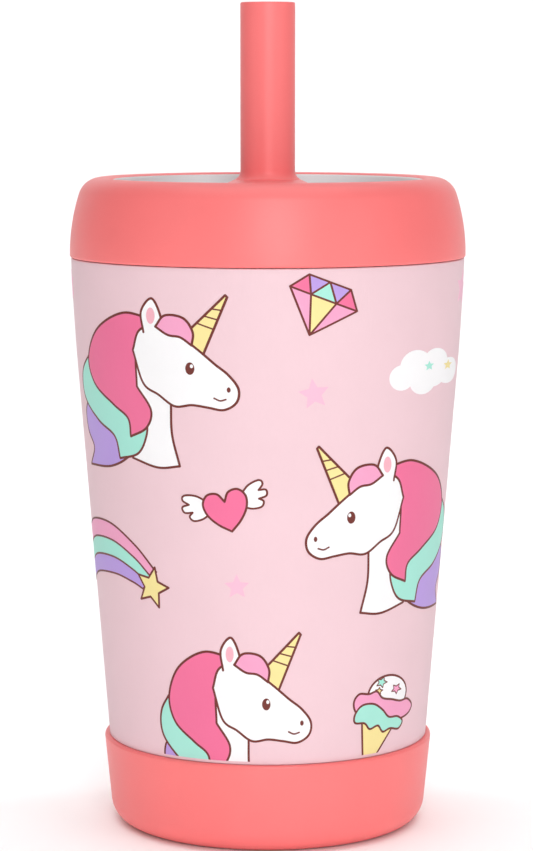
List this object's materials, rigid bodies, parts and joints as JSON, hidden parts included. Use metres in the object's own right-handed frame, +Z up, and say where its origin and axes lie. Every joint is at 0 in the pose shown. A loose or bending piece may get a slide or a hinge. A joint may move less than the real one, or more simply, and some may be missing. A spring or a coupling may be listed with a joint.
{
  "type": "kids vacuum tumbler with straw lid",
  "caption": "Tapered double-wall steel tumbler with a silicone boot, a screw lid with an open dish on top, and a soft straw standing at its centre.",
  "frame": {"origin": "centre of the boot's underside, where the tumbler stands", "axes": "+Z up along the cup's axis; -Y is the front, where the tongue runs from the straw to the rim; +X is to the right seen from the front"},
  "size_m": [0.0858, 0.0858, 0.1789],
  "materials": {
    "coral_silicone": "matte soft silicone",
    "coral_cover": "matte soft silicone",
    "powder_coat": "fine matte powder coat",
    "bare_steel": "brushed",
    "foil": "bright foil",
    "seal_glass": "fused glass solder",
    "getter_metal": "sintered",
    "clear_silicone": "translucent silicone",
    "pale_plastic": "fine moulded satin",
    "ink_outline": "matte printed ink",
    "ink_white": "matte printed ink",
    "ink_hot_pink": "matte printed ink",
    "ink_mid_pink": "matte printed ink",
    "ink_rose": "matte printed ink",
    "ink_pale_pink": "matte printed ink",
    "ink_teal": "matte printed ink",
    "ink_purple": "matte printed ink",
    "ink_yellow": "matte printed ink"
  },
  "bodies": {
    "boot": {"silicone_boot": "coral_silicone"},
    "cup": {"outer_wall": "powder_coat", "inner_wall": "bare_steel", "reflective_foil": "foil", "base_plate": "bare_steel", "vacuum_seal": "seal_glass", "getter": "getter_metal"},
    "lid_seal": {"lid_gasket": "clear_silicone"},
    "lid": {"lid_cover": "coral_cover", "lid_tray": "pale_plastic", "lid_plug": "pale_plastic", "vent_valve": "clear_silicone"},
    "straw": {"straw_spout": "coral_silicone", "straw_valve": "clear_silicone", "valve_retainer": "pale_plastic", "straw_stem": "pale_plastic"}
  },
  "joints": [
    {"name": "cup_lift", "type": "slide", "parent": "boot", "child": "cup", "axis": [0, 0, 1], "range_m": [0, 0.03]},
    {"name": "lid_lift", "type": "slide", "parent": "cup", "child": "lid_seal", "axis": [0, 0, 1], "range_m": [0, 0.005]},
    {"name": "lid_turn", "type": "hinge", "parent": "lid_seal", "child": "lid", "pos_m": [0, 0, 0.1241], "axis": [0, 0, 1], "range_deg": [0, 450]},
    {"name": "straw_pull", "type": "slide", "parent": "lid", "child": "straw", "axis": [0, 0, 1], "range_m": [0, 0.132]}
  ],
  "couplings": [
    {"joint": "lid_lift", "follows": "lid_turn", "m_per_rad": 0.00063662}
  ]
}
